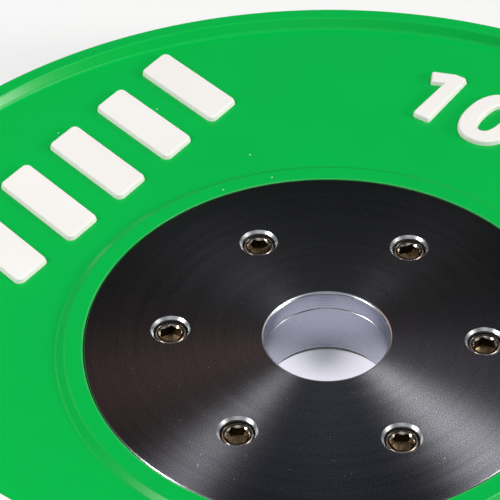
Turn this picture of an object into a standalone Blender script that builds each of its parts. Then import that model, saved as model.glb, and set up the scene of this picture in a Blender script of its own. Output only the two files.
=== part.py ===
"""Rubber coated weight plate for a 50 mm bar sleeve, lying flat, built as it comes apart on a bench.

Metres, +Z up. The origin is on the floor, under the middle of the bore.
Two steel hub discs clamp the rubber ring and the anchor plate moulded into it. Six socket screws,
sunk in the front disc, pull the back disc up. White rubber marks stand on both faces of the web.
"""
import math

import bmesh
import bpy

# Small gap that keeps touching pieces apart
CLEARANCE = 0.0003

# Rubber ring
OUTER_RADIUS = 0.225
HUB_THICKNESS = 0.032
RIM_RISE = 0.003
RIM_WIDTH = 0.007
RIM_SLOPE = 0.003
RIM_EDGE_ROUND = 0.0009
RIM_INNER_ROUND = 0.0012
RIM_FOOT_ROUND = 0.0024
WEB_DROP = 0.002
LIP_WIDTH = 0.0076
LIP_SLOPE = 0.0035

# Hub discs and bore
DISC_RADIUS = 0.0997
DISC_EDGE_CHAMFER = 0.0006
BORE_RADIUS = 0.0255
BORE_CHAMFER = 0.0012
BACK_FLANGE_THICKNESS = 0.0078
SPIGOT_WALL = 0.0085
REGISTER_DEPTH = 0.0033
SEAM_CHAMFER = 0.0003

# Anchor plate moulded into the rubber
ANCHOR_THICKNESS = 0.002
ANCHOR_OVERLAP = 0.0123

# Socket screws
SCREW_COUNT = 6
SCREW_EDGE_DISTANCE = 0.0353
SCREW_PHASE = math.radians(-3.0)
SHANK_RADIUS = 0.004
SHANK_CLEARANCE = 0.0005
SHANK_TIP_CHAMFER = 0.0008
SHANK_TIP_RECESS = 0.0022
HEAD_RADIUS = 0.0065
HEAD_HEIGHT = 0.008
HEAD_RECESS = 0.0018
HEAD_EDGE_ROUND = 0.0007
HEAD_CLEARANCE = 0.00065
HEAD_FLOOR = 0.0019
COUNTERBORE_CHAMFER = 0.00105
THREAD_CHAMFER = 0.0007
HEX_ACROSS_FLATS = 0.0084
HEX_DEPTH = 0.0049
HEX_FLOOR_CONE = 0.0007
HEX_ENTRY_MARGIN = 0.00015
# How far each screw stopped turning when it was tightened, counted from a flat that faces +Y
SCREW_TURNS = tuple(math.radians(turn) for turn in (38.0, 17.0, 0.0, 30.0, 2.0, -2.0))

# White marks: they stand on the web, between the lip and the rim
MARK_RISE = 0.0022
MARK_EDGE_CHAMFER = 0.0004
NUMERAL_HEIGHT = 0.0375
NUMERAL_STROKE = 0.0096
NUMERAL_GAP = 0.0094
NUMERAL_CORNER_ROUND = 0.0016
NUMERAL_FOOT_ROUND = 0.0024
NUMERAL_ANGLES = (math.radians(55.0), math.radians(235.0))
ONE_FLAG_REACH = 0.0096
ONE_TIP_DROP = 0.0045
ONE_NOTCH_DROP = 0.0091
ONE_FLAG_DROP = 0.0121
ONE_TIP_INSET = 0.0041
ONE_FOOT_RISE = 0.0009
ZERO_EYE_WIDTH = 0.0082
ZERO_CAP = 0.0086
ZERO_FULLNESS = 2.3
BAR_HEIGHT = 0.0505
BAR_WIDTH = 0.019
BAR_GAP = 0.0155
BAR_SLANT = math.radians(12.0)
BAR_CORNER_ROUND = 0.003
BAR_RIM_MARGIN = 0.00515
BAR_ANGLES = (math.radians(145.0), math.radians(325.0))
SHORT_BAR_COUNT = 2
LONG_BAR_COUNT = 7
# How far the middle of a row of marks lies inside the middle of the web
NUMERAL_ROW_INSET = 0.0023
BAR_ROW_INSET = 0.0133

# Fineness of the round pieces
TURN_STEPS = 64
SCREW_STEPS = 16
CORNER_STEPS = 2
ZERO_STEPS = 24
ZERO_EYE_STEPS = 16
SMOOTH_ANGLE = math.radians(35.0)
WELD_DISTANCE = 0.00001

# Worked out from the sizes above
BACK_HUB_Z = RIM_RISE
FRONT_HUB_Z = BACK_HUB_Z + HUB_THICKNESS
TOTAL_THICKNESS = FRONT_HUB_Z + RIM_RISE
BACK_WEB_Z = BACK_HUB_Z + WEB_DROP
FRONT_WEB_Z = FRONT_HUB_Z - WEB_DROP
POCKET_RADIUS = DISC_RADIUS + CLEARANCE
LIP_EDGE_RADIUS = POCKET_RADIUS + LIP_WIDTH
WEB_INNER_RADIUS = LIP_EDGE_RADIUS + LIP_SLOPE
RIM_INNER_RADIUS = OUTER_RADIUS - RIM_WIDTH
WEB_OUTER_RADIUS = RIM_INNER_RADIUS - RIM_SLOPE
WEB_MIDDLE_RADIUS = (WEB_INNER_RADIUS + WEB_OUTER_RADIUS) / 2
SCREW_CIRCLE_RADIUS = DISC_RADIUS - SCREW_EDGE_DISTANCE
SPIGOT_RADIUS = BORE_RADIUS + SPIGOT_WALL
SPIGOT_FIT_RADIUS = SPIGOT_RADIUS + CLEARANCE
FRONT_DISC_THICKNESS = HEAD_RECESS + HEAD_HEIGHT + CLEARANCE + HEAD_FLOOR
FRONT_DISC_BASE_Z = FRONT_HUB_Z - FRONT_DISC_THICKNESS
SEAM_Z = FRONT_DISC_BASE_Z + REGISTER_DEPTH
BACK_FLANGE_TOP_Z = BACK_HUB_Z + BACK_FLANGE_THICKNESS
ANCHOR_RADIUS = DISC_RADIUS + ANCHOR_OVERLAP
ANCHOR_MIDDLE_Z = (BACK_FLANGE_TOP_Z + FRONT_DISC_BASE_Z) / 2
HEAD_TOP_Z = FRONT_HUB_Z - HEAD_RECESS
HEAD_BASE_Z = HEAD_TOP_Z - HEAD_HEIGHT
COUNTERBORE_FLOOR_Z = FRONT_DISC_BASE_Z + HEAD_FLOOR
SHANK_TIP_Z = BACK_HUB_Z + SHANK_TIP_RECESS
HEX_CORNER_RADIUS = HEX_ACROSS_FLATS / math.sqrt(3.0)
HEX_ENTRY_RADIUS = HEX_CORNER_RADIUS + HEX_ENTRY_MARGIN
CUT_OVERRUN = 0.002


def clear_scene():
    """Remove every object of the open file."""
    for thing in list(bpy.data.objects):
        bpy.data.objects.remove(thing, do_unlink=True)


def new_collection(name):
    """Collection linked to the scene."""
    collection = bpy.data.collections.new(name)
    bpy.context.scene.collection.children.link(collection)
    return collection


def linear(hex_colour):
    """Linear colour of an sRGB hex string."""
    parts = [int(hex_colour[i:i + 2], 16) / 255 for i in (1, 3, 5)]
    return [c / 12.92 if c <= 0.04045 else ((c + 0.055) / 1.055) ** 2.4 for c in parts] + [1.0]


def finish(name, hex_colour, roughness, metallic):
    """Principled material of one colour."""
    material = bpy.data.materials.new(name)
    material.use_nodes = True
    shader = material.node_tree.nodes["Principled BSDF"]
    shader.inputs["Base Color"].default_value = linear(hex_colour)
    shader.inputs["Roughness"].default_value = roughness
    shader.inputs["Metallic"].default_value = metallic
    return material


def rounded(corners, closed=True, steps=CORNER_STEPS):
    """Outline through (x, y, radius) corners, each corner with a radius drawn as an arc."""
    points = []
    last = len(corners) - 1
    for index, (x, y, radius) in enumerate(corners):
        if radius == 0 or (not closed and index in (0, last)):
            points.append((x, y))
            continue
        before = corners[index - 1]
        after = corners[(index + 1) % len(corners)]
        to_before = math.atan2(before[1] - y, before[0] - x)
        to_after = math.atan2(after[1] - y, after[0] - x)
        opening = (to_after - to_before + math.pi) % math.tau - math.pi
        reach = radius / math.sin(abs(opening) / 2)
        middle = to_before + opening / 2
        centre = (x + reach * math.cos(middle), y + reach * math.sin(middle))
        sweep = math.copysign(math.pi - abs(opening), -opening)
        start = to_before + math.copysign(math.pi / 2, -opening)
        for step in range(steps + 1):
            angle = start + sweep * step / steps
            points.append((centre[0] + radius * math.cos(angle), centre[1] + radius * math.sin(angle)))
    return points


def turned(name, points, steps, collection, closed=True):
    """Object whose profile of (radius, height) points a Screw modifier turns about Z."""
    count = len(points)
    edges = [(i, i + 1) for i in range(count - 1)]
    if closed:
        edges.append((count - 1, 0))
    mesh = bpy.data.meshes.new(name)
    mesh.from_pydata([(radius, 0, height) for radius, height in points], edges, [])
    thing = bpy.data.objects.new(name, mesh)
    collection.objects.link(thing)
    screw = thing.modifiers.new("turn", "SCREW")
    screw.steps = screw.render_steps = steps
    screw.use_merge_vertices = True
    screw.merge_threshold = WELD_DISTANCE
    return thing


def hide_cutter(thing):
    """Keep a cutter out of renders."""
    thing.hide_render = True
    thing.display_type = "WIRE"


def cut(thing, cutters):
    """Take a collection of cutters away from an object."""
    boolean = thing.modifiers.new("cut", "BOOLEAN")
    boolean.operation = "DIFFERENCE"
    boolean.solver = "EXACT"
    boolean.operand_type = "COLLECTION"
    boolean.collection = cutters


def settle(thing, material):
    """Turn an object's evaluated shape into its own mesh, shaded smooth between its sharp edges."""
    bpy.context.view_layer.update()
    evaluated = thing.evaluated_get(bpy.context.evaluated_depsgraph_get())
    mesh = bpy.data.meshes.new_from_object(evaluated)
    mesh.name = thing.name
    thing.modifiers.clear()
    thing.data = mesh
    mesh.materials.clear()
    mesh.materials.append(material)
    mesh.shade_smooth()
    mesh.set_sharp_from_angle(angle=SMOOTH_ANGLE)


def screw_places():
    """Centre of each screw."""
    for index in range(SCREW_COUNT):
        angle = SCREW_PHASE + index * math.tau / SCREW_COUNT
        yield SCREW_CIRCLE_RADIUS * math.cos(angle), SCREW_CIRCLE_RADIUS * math.sin(angle)


def hole_cutters(name, points, parent_collection):
    """Collection with one turned cutter at each screw's place."""
    cutters = bpy.data.collections.new(name)
    parent_collection.children.link(cutters)
    first = turned(name, points, SCREW_STEPS, cutters)
    hide_cutter(first)
    places = list(screw_places())
    first.location = (*places[0], 0)
    for place in places[1:]:
        copy = first.copy()
        copy.location = (*place, 0)
        cutters.objects.link(copy)
    return cutters


def plain_hole(radius):
    """Closed profile of a hole right through the plate, with its inner side on the axis."""
    top = TOTAL_THICKNESS + CUT_OVERRUN
    return [(0, top), (radius, top), (radius, -CUT_OVERRUN), (0, -CUT_OVERRUN)]


def rubber_face(hub_z, sign):
    """Corners of one moulded face, from the outer edge in to the pocket; sign is +1 for the front."""
    return [
        (OUTER_RADIUS, hub_z + sign * RIM_RISE, RIM_EDGE_ROUND),
        (RIM_INNER_RADIUS, hub_z + sign * RIM_RISE, RIM_INNER_ROUND),
        (WEB_OUTER_RADIUS, hub_z - sign * WEB_DROP, RIM_FOOT_ROUND),
        (WEB_INNER_RADIUS, hub_z - sign * WEB_DROP, 0),
        (LIP_EDGE_RADIUS, hub_z, 0),
        (POCKET_RADIUS, hub_z, 0)]


def build_rubber_body(collection, cutters, material):
    """Moulded ring with a pocket for each disc and a slot for the anchor plate."""
    slot_low = ANCHOR_MIDDLE_Z - ANCHOR_THICKNESS / 2 - CLEARANCE
    slot_high = ANCHOR_MIDDLE_Z + ANCHOR_THICKNESS / 2 + CLEARANCE
    slot_radius = ANCHOR_RADIUS + CLEARANCE
    inside = [
        (POCKET_RADIUS, BACK_FLANGE_TOP_Z + CLEARANCE, 0),
        (SPIGOT_FIT_RADIUS, BACK_FLANGE_TOP_Z + CLEARANCE, 0),
        (SPIGOT_FIT_RADIUS, slot_low, 0),
        (slot_radius, slot_low, 0),
        (slot_radius, slot_high, 0),
        (SPIGOT_FIT_RADIUS, slot_high, 0),
        (SPIGOT_FIT_RADIUS, FRONT_DISC_BASE_Z - CLEARANCE, 0),
        (POCKET_RADIUS, FRONT_DISC_BASE_Z - CLEARANCE, 0)]
    front = rubber_face(FRONT_HUB_Z, 1)
    back = rubber_face(BACK_HUB_Z, -1)
    corners = front[:1] + back + inside + front[:0:-1]
    body = turned("rubber_body", rounded(corners), TURN_STEPS, collection)
    cut(body, hole_cutters("rubber_hole", plain_hole(SHANK_RADIUS + SHANK_CLEARANCE), cutters))
    settle(body, material)


def build_anchor_plate(collection, cutters, material):
    """Flat steel ring that ties the rubber to the hub."""
    low = ANCHOR_MIDDLE_Z - ANCHOR_THICKNESS / 2
    high = ANCHOR_MIDDLE_Z + ANCHOR_THICKNESS / 2
    points = [(ANCHOR_RADIUS, high), (ANCHOR_RADIUS, low), (SPIGOT_FIT_RADIUS, low), (SPIGOT_FIT_RADIUS, high)]
    plate = turned("anchor_plate", points, TURN_STEPS, collection)
    cut(plate, hole_cutters("anchor_hole", plain_hole(SHANK_RADIUS + SHANK_CLEARANCE), cutters))
    settle(plate, material)


def build_front_disc(collection, cutters, material):
    """Front hub disc: counterbored for the screws, with a register for the spigot under its bore."""
    corners = [
        (DISC_RADIUS - DISC_EDGE_CHAMFER, FRONT_HUB_Z),
        (DISC_RADIUS, FRONT_HUB_Z - DISC_EDGE_CHAMFER),
        (DISC_RADIUS, FRONT_DISC_BASE_Z),
        (SPIGOT_FIT_RADIUS, FRONT_DISC_BASE_Z),
        (SPIGOT_FIT_RADIUS, SEAM_Z),
        (BORE_RADIUS + SEAM_CHAMFER, SEAM_Z),
        (BORE_RADIUS, SEAM_Z + SEAM_CHAMFER),
        (BORE_RADIUS, FRONT_HUB_Z - BORE_CHAMFER),
        (BORE_RADIUS + BORE_CHAMFER, FRONT_HUB_Z)]
    disc = turned("front_hub_disc", corners, TURN_STEPS, collection)
    bore = HEAD_RADIUS + HEAD_CLEARANCE
    mouth = bore + COUNTERBORE_CHAMFER
    hole = SHANK_RADIUS + SHANK_CLEARANCE
    above = FRONT_HUB_Z + CUT_OVERRUN
    below = FRONT_DISC_BASE_Z - CUT_OVERRUN
    profile = [
        (0, above),
        (mouth, above),
        (mouth, FRONT_HUB_Z),
        (bore, FRONT_HUB_Z - COUNTERBORE_CHAMFER),
        (bore, COUNTERBORE_FLOOR_Z),
        (hole, COUNTERBORE_FLOOR_Z),
        (hole, below),
        (0, below)]
    cut(disc, hole_cutters("counterbore", profile, cutters))
    settle(disc, material)


def build_back_disc(collection, cutters, material):
    """Back hub disc with the spigot that lines the bore, threaded for the screws."""
    spigot_top = SEAM_Z - CLEARANCE
    corners = [
        (SPIGOT_RADIUS, spigot_top),
        (SPIGOT_RADIUS, BACK_FLANGE_TOP_Z),
        (DISC_RADIUS, BACK_FLANGE_TOP_Z),
        (DISC_RADIUS, BACK_HUB_Z + DISC_EDGE_CHAMFER),
        (DISC_RADIUS - DISC_EDGE_CHAMFER, BACK_HUB_Z),
        (BORE_RADIUS + BORE_CHAMFER, BACK_HUB_Z),
        (BORE_RADIUS, BACK_HUB_Z + BORE_CHAMFER),
        (BORE_RADIUS, spigot_top - SEAM_CHAMFER),
        (BORE_RADIUS + SEAM_CHAMFER, spigot_top)]
    disc = turned("back_hub_disc", corners, TURN_STEPS, collection)
    thread = SHANK_RADIUS + CLEARANCE
    above = BACK_FLANGE_TOP_Z + CUT_OVERRUN
    below = BACK_HUB_Z - CUT_OVERRUN
    profile = [
        (0, above),
        (thread, above),
        (thread, BACK_HUB_Z + THREAD_CHAMFER),
        (thread + THREAD_CHAMFER, BACK_HUB_Z),
        (thread + THREAD_CHAMFER, below),
        (0, below)]
    cut(disc, hole_cutters("thread_hole", profile, cutters))
    settle(disc, material)


def build_screws(collection, cutters, material):
    """Six socket screws that share one mesh, each turned to where it stopped."""
    profile = rounded([
        (0, HEAD_TOP_Z, 0),
        (HEAD_RADIUS, HEAD_TOP_Z, HEAD_EDGE_ROUND),
        (HEAD_RADIUS, HEAD_BASE_Z, 0),
        (SHANK_RADIUS, HEAD_BASE_Z, 0),
        (SHANK_RADIUS, SHANK_TIP_Z + SHANK_TIP_CHAMFER, 0),
        (SHANK_RADIUS - SHANK_TIP_CHAMFER, SHANK_TIP_Z, 0),
        (0, SHANK_TIP_Z, 0)], closed=False)
    first = turned("hub_screw_1", profile, SCREW_STEPS, collection, closed=False)
    socket = bpy.data.collections.new("socket")
    cutters.children.link(socket)
    above = HEAD_TOP_Z + CUT_OVERRUN
    floor = HEAD_TOP_Z - HEX_DEPTH
    hexagon = turned("hexagon", [
        (0, above), (HEX_CORNER_RADIUS, above), (HEX_CORNER_RADIUS, floor),
        (0, floor - HEX_FLOOR_CONE)], 6, socket, closed=False)
    entry = turned("hex_entry", [
        (0, above), (HEX_ENTRY_RADIUS, above), (HEX_ENTRY_RADIUS, HEAD_TOP_Z),
        (0, HEAD_TOP_Z - HEX_ENTRY_RADIUS)], SCREW_STEPS, socket, closed=False)
    hide_cutter(hexagon)
    hide_cutter(entry)
    cut(first, socket)
    settle(first, material)
    for index, place in enumerate(screw_places()):
        screw = first
        if index:
            screw = bpy.data.objects.new(f"hub_screw_{index + 1}", first.data)
            collection.objects.link(screw)
        screw.location = (*place, 0)
        screw.rotation_euler = (0, 0, SCREW_TURNS[index % len(SCREW_TURNS)])


def one_outline():
    """Outline of the numeral 1 about its middle: a stem with a flag to the left."""
    half = NUMERAL_HEIGHT / 2
    left = -(ONE_FLAG_REACH + NUMERAL_STROKE) / 2
    foot = left + ONE_FLAG_REACH
    right = foot + NUMERAL_STROKE
    small = NUMERAL_CORNER_ROUND
    large = NUMERAL_FOOT_ROUND
    return [rounded([
        (left, half - ONE_TIP_DROP, small),
        (foot + small, half, large),
        (right - small, half, large),
        (right, ONE_FOOT_RISE - half, small),
        (foot, ONE_FOOT_RISE - half, large),
        (foot, half - ONE_NOTCH_DROP, 0),
        (left + ONE_TIP_INSET, half - ONE_FLAG_DROP, small)])]


def oval(half_width, half_height, fullness, steps):
    """Closed superellipse: fullness 2 is an ellipse, and more is squarer."""
    points = []
    for step in range(steps):
        angle = math.tau * step / steps
        across = math.cos(angle)
        up = math.sin(angle)
        points.append((
            half_width * math.copysign(abs(across) ** (2 / fullness), across),
            half_height * math.copysign(abs(up) ** (2 / fullness), up)))
    return points


def zero_outline():
    """Outline of the numeral 0 about its middle, with its eye."""
    half_eye = ZERO_EYE_WIDTH / 2
    outer = oval(half_eye + NUMERAL_STROKE, NUMERAL_HEIGHT / 2, ZERO_FULLNESS, ZERO_STEPS)
    eye = oval(half_eye, NUMERAL_HEIGHT / 2 - ZERO_CAP, ZERO_FULLNESS, ZERO_EYE_STEPS)
    return [outer, eye]


def bar_outline(height):
    """Outline of one slanted bar about its middle."""
    half = height / 2
    lean = half * math.tan(BAR_SLANT)
    half_width = BAR_WIDTH / 2
    corner = min(BAR_CORNER_ROUND, half_width / 2, half / 2)
    return [rounded([
        (lean - half_width, half, corner),
        (lean + half_width, half, corner),
        (half_width - lean, -half, corner),
        (-half_width - lean, -half, corner)])]


def flat_mesh(name, outlines, thickness):
    """Mesh of a filled 2D curve, with its upper edge chamfered."""
    curve = bpy.data.curves.new(name, "CURVE")
    curve.dimensions = "2D"
    curve.fill_mode = "BOTH"
    curve.extrude = thickness / 2
    for outline in outlines:
        spline = curve.splines.new("POLY")
        spline.points.add(len(outline) - 1)
        for point, (x, y) in zip(spline.points, outline):
            point.co = (x, y, 0, 1)
        spline.use_cyclic_u = True
    thing = bpy.data.objects.new(name, curve)
    bpy.context.scene.collection.objects.link(thing)
    bpy.context.view_layer.update()
    mesh = bpy.data.meshes.new_from_object(thing.evaluated_get(bpy.context.evaluated_depsgraph_get()))
    mesh.name = name
    bpy.data.objects.remove(thing, do_unlink=True)
    chamfer_upper_edge(mesh, thickness / 2)
    return mesh


def chamfer_upper_edge(mesh, top):
    """Weld a mesh's caps and chamfer the edge round its upper face."""
    work = bmesh.new()
    work.from_mesh(mesh)
    bmesh.ops.remove_doubles(work, verts=work.verts, dist=WELD_DISTANCE)
    bmesh.ops.recalc_face_normals(work, faces=work.faces)
    edge_ring = [
        edge for edge in work.edges
        if all(abs(vert.co.z - top) < WELD_DISTANCE for vert in edge.verts)
        and any(abs(face.normal.z) < 0.5 for face in edge.link_faces)]
    bmesh.ops.bevel(
        work, geom=edge_ring, offset=MARK_EDGE_CHAMFER, segments=1, affect="EDGES", clamp_overlap=True)
    work.to_mesh(mesh)
    work.free()


def add_mark(name, mesh, place, position, material, collection):
    """Stand one white mark on the web, in the frame of its place."""
    if not mesh.materials:
        mesh.materials.append(material)
        mesh.shade_smooth()
        mesh.set_sharp_from_angle(angle=SMOOTH_ANGLE)
    mark = bpy.data.objects.new(name, mesh)
    mark.parent = place
    thickness = MARK_RISE - CLEARANCE
    mark.location = (*position, CLEARANCE + thickness / 2)
    collection.objects.link(mark)


def add_place(name, face, angle, collection):
    """Empty whose +Y points outwards along an angle of the face."""
    place = bpy.data.objects.new(name, None)
    place.parent = face
    place.rotation_euler = (0, 0, angle - math.pi / 2)
    collection.objects.link(place)
    return place


def numeral_row(meshes):
    """Name, mesh and place across of each mark in a numeral row, which is centred as a whole."""
    widths = {
        "one": ONE_FLAG_REACH + NUMERAL_STROKE,
        "zero": ZERO_EYE_WIDTH + 2 * NUMERAL_STROKE,
        "short_bar": BAR_WIDTH}
    marks = [("one", 0), ("zero", NUMERAL_GAP)] + [("short_bar", BAR_GAP)] * SHORT_BAR_COUNT
    edge = -sum(gap + widths[kind] for kind, gap in marks) / 2
    for index, (kind, gap) in enumerate(marks):
        edge += gap
        suffix = str(index - 1) if kind == "short_bar" else ""
        yield kind, suffix, meshes[kind], edge + widths[kind] / 2
        edge += widths[kind]


def long_bar_places(middle):
    """Place across of each long bar: the row reaches to where its upper corners near the rim."""
    top = middle + BAR_HEIGHT / 2
    reach = math.sqrt(max((WEB_OUTER_RADIUS - BAR_RIM_MARGIN) ** 2 - top ** 2, 0))
    half_row = reach - BAR_WIDTH / 2 - BAR_HEIGHT / 2 * math.tan(BAR_SLANT)
    pitch = 2 * half_row / max(LONG_BAR_COUNT - 1, 1)
    return [index * pitch - half_row for index in range(LONG_BAR_COUNT)]


def build_marks(collection, material):
    """Numerals and plain slanted bars, alike on both faces."""
    thickness = MARK_RISE - CLEARANCE
    meshes = {
        "one": flat_mesh("numeral_one", one_outline(), thickness),
        "zero": flat_mesh("numeral_zero", zero_outline(), thickness),
        "short_bar": flat_mesh("short_bar", bar_outline(NUMERAL_HEIGHT), thickness)}
    long_bar = flat_mesh("long_bar", bar_outline(BAR_HEIGHT), thickness)
    numeral_middle = WEB_MIDDLE_RADIUS - NUMERAL_ROW_INSET
    bar_middle = WEB_MIDDLE_RADIUS - BAR_ROW_INSET
    for side, height, turn in (("front", FRONT_WEB_Z, 0), ("back", BACK_WEB_Z, math.pi)):
        face = bpy.data.objects.new(f"{side}_face", None)
        face.location = (0, 0, height)
        face.rotation_euler = (turn, 0, 0)
        collection.objects.link(face)
        for letter, angle in zip("ab", NUMERAL_ANGLES):
            place = add_place(f"{side}_numeral_place_{letter}", face, angle, collection)
            for kind, suffix, mesh, across in numeral_row(meshes):
                name = f"{side}_{kind}_{letter}{suffix}"
                add_mark(name, mesh, place, (across, numeral_middle), material, collection)
        for letter, angle in zip("ab", BAR_ANGLES):
            place = add_place(f"{side}_bar_place_{letter}", face, angle, collection)
            for index, across in enumerate(long_bar_places(bar_middle)):
                name = f"{side}_long_bar_{letter}{index + 1}"
                add_mark(name, long_bar, place, (across, bar_middle), material, collection)


def main():
    """Build the whole plate."""
    clear_scene()
    parts = new_collection("rubber_weight_plate")
    cutters = new_collection("cutters")
    green_rubber = finish("green_rubber", "#00B44A", 0.55, 0.0)
    white_rubber = finish("white_rubber", "#F3F0ED", 0.55, 0.0)
    turned_steel = finish("blackened_turned_steel", "#2B2B30", 0.32, 0.9)
    plain_steel = finish("plain_steel", "#8E8F92", 0.4, 1.0)
    screw_steel = finish("dark_nickel_steel", "#5A5348", 0.2, 1.0)
    build_rubber_body(parts, cutters, green_rubber)
    build_anchor_plate(parts, cutters, plain_steel)
    build_front_disc(parts, cutters, turned_steel)
    build_back_disc(parts, cutters, turned_steel)
    build_screws(parts, cutters, screw_steel)
    build_marks(parts, white_rubber)


main()
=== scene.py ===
"""Looks of a rubber coated weight plate with a two-piece steel hub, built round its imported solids.

Each piece is a surface worked out with numpy in the plate's frame, in metres, and stands for one solid:
profiles turned about the bore, faces drilled for the six screws, and outlines lofted into raised marks.
"""
import logging
import math
from collections.abc import Iterator, Sequence
from dataclasses import dataclass
from enum import Enum, IntEnum

import bmesh
import bpy
import numpy as np
from mathutils import Matrix, Vector


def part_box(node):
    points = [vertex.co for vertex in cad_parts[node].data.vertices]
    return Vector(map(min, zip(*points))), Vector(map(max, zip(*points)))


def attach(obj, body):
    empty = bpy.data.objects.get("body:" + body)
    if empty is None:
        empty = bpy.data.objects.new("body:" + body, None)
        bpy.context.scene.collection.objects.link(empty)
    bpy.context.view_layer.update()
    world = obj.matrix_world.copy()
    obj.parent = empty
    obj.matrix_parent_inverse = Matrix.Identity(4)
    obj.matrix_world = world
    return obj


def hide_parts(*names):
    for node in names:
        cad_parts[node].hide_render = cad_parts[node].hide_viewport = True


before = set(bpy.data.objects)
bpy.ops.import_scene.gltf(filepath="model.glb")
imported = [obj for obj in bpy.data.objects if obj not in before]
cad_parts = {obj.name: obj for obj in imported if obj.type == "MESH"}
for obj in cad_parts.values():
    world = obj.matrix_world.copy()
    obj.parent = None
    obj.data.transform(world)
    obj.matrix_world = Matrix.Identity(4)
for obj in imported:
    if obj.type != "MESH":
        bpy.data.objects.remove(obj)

MM = 0.001
IMAGE_SIDE = 500
SENSOR_WIDTH = 36.0
WELD = 0.002 * MM
SHARP_ANGLE = math.radians(32.0)
# Inputs of a Map Range node for the values that a noise texture mostly takes.
NOISE_SPAN = {1: 0.3, 2: 0.7}
# A speck's soft edge reaches out to its size times this.
SPECK_EDGE = 1.6
# Times a place, this leaves its part in the plane of the plate.
IN_PLANE = (1.0, 1.0, 0.0)
LOG = logging.getLogger("weight_plate")

Corner = tuple[float, float, float]
Pair = tuple[float, float]
Material = bpy.types.Material
Socket = bpy.types.NodeSocket


class Side(Enum):
    """The two faces of the plate, with the sign of the way along Z that each one looks."""

    FRONT = 1
    BACK = -1


class DiscPart(IntEnum):
    """Surfaces of a hub disc, numbered as its materials are."""

    FACE = 0
    CHAMFER = 1
    BORE = 2
    HOLE = 3
    EDGE = 4


class ScrewPart(IntEnum):
    """Surfaces of a screw, numbered as its materials are."""

    SKIN = 0
    SOCKET_FLOOR = 1
    ENTRY_CONE = 2
    SOCKET_WALL = 3
    HEAD_EDGE = 4


# Colour and nodes


def linear(hex_colour: str) -> tuple[float, float, float, float]:
    """Linear colour of an sRGB hex string.

    Args:
        hex_colour: Colour such as "#00B44A".

    Returns:
        Red, green, blue and an alpha of 1.
    """
    parts = [int(hex_colour[i:i + 2], 16) / 255 for i in (1, 3, 5)]
    return (*(c / 12.92 if c <= 0.04045 else ((c + 0.055) / 1.055) ** 2.4 for c in parts), 1.0)


class Graph:
    """Node tree of one material or world.

    Its inputs are mostly numbered. A Map Range has its value at 0, the span it comes from at 1 and 2, and
    the one it goes to at 3 and 4. A Mix has its share at 0, plain numbers at 2 and 3, and colours at 6
    and 7, whose result is output 2.
    """

    def __init__(self, owner: Material | bpy.types.World) -> None:
        """Start an empty tree.

        Args:
            owner: The material or world that it belongs to.
        """
        owner.use_nodes = True
        self.tree = owner.node_tree
        self.tree.nodes.clear()

    def add(self, kind: str, inputs: dict | None = None, output: int | str = 0, **settings) -> Socket:
        """Add one node with its settings and links.

        Args:
            kind: Node type, without its "ShaderNode" prefix.
            inputs: Value or linked socket of each input, by name or number.
            output: Name or number of the output wanted.
            **settings: Properties of the node.

        Returns:
            The wanted output socket, or None for a node without outputs.
        """
        node = self.tree.nodes.new("ShaderNode" + kind)
        for name, value in settings.items():
            setattr(node, name, value)
        for key, value in (inputs or {}).items():
            if isinstance(value, Socket):
                self.tree.links.new(value, node.inputs[key])
            else:
                node.inputs[key].default_value = value
        return node.outputs[output] if node.outputs else None


# Shapes in the plane


def turned_chord(start: complex, end: complex, sweep: float, steps: int) -> np.ndarray:
    """Arc between two points that turns left by an angle.

    With c from start to end and w the sweep, the point at t is
    start + c exp(i (t - 1) w / 2) sin(t w / 2) / sin(w / 2), for t from 0 to 1.

    Args:
        start: First point, as a complex number.
        end: Last point.
        sweep: Angle turned in radians, negative to the right.
        steps: Number of segments.

    Returns:
        Array of steps + 1 complex points.
    """
    t = np.linspace(0, 1, steps + 1)
    turned = (end - start) * np.exp(0.5j * (t - 1) * sweep) * np.sin(t * sweep / 2)
    return start + turned / math.sin(sweep / 2)


def xy(places: np.ndarray) -> np.ndarray:
    """Complex places as an array of (x, y)."""
    return np.column_stack((places.real, places.imag))


def rounded(corners: Sequence[Corner], closed: bool = True, steps: int = 7,
            support: float = 0.12 * MM) -> np.ndarray:
    """Outline through corners, each rounded by a radius of its own.

    The arc starts and ends at distance radius / tan(half the opening) from the corner and turns by what
    the outline turns there. A support point just outside each end keeps the straights flat in shading.

    Args:
        corners: Places and radii, (x, y, radius).
        closed: Whether the last corner joins the first.
        steps: Segments of each arc.
        support: Distance from an arc's end to its support point.

    Returns:
        Array of (x, y) points.
    """
    places = np.array([complex(x, y) for x, y, _ in corners])
    before = places - np.roll(places, 1)
    after = np.roll(places, -1) - places
    turn = np.angle(after / before)
    points: list[np.ndarray] = []
    for index, (place, (_, _, radius)) in enumerate(zip(places, corners)):
        if radius == 0 or (not closed and index in (0, len(corners) - 1)):
            points.append(np.array([place]))
            continue
        back = before[index] / abs(before[index])
        ahead = after[index] / abs(after[index])
        reach = radius * math.tan(abs(turn[index]) / 2)
        start, end = place - reach * back, place + reach * ahead
        arc = turned_chord(start, end, turn[index], steps)
        points.append(np.concatenate(([start - support * back], arc, [end + support * ahead])))
    return xy(np.concatenate(points))


def inset(outline: np.ndarray, distance: float) -> np.ndarray:
    """Outline moved inwards.

    Each point moves along the mean of its two edges' inward normals, by distance / cos(half the turn).

    Args:
        outline: Closed (x, y) outline, counter-clockwise.
        distance: Distance moved, negative outwards.

    Returns:
        The moved outline.
    """
    points = outline[:, 0] + 1j * outline[:, 1]
    ahead = np.roll(points, -1) - points
    ahead /= abs(ahead)
    back = np.roll(ahead, 1)
    mean = ahead + back
    mean *= 2 / abs(mean) ** 2
    return xy(points + distance * 1j * mean)


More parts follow.
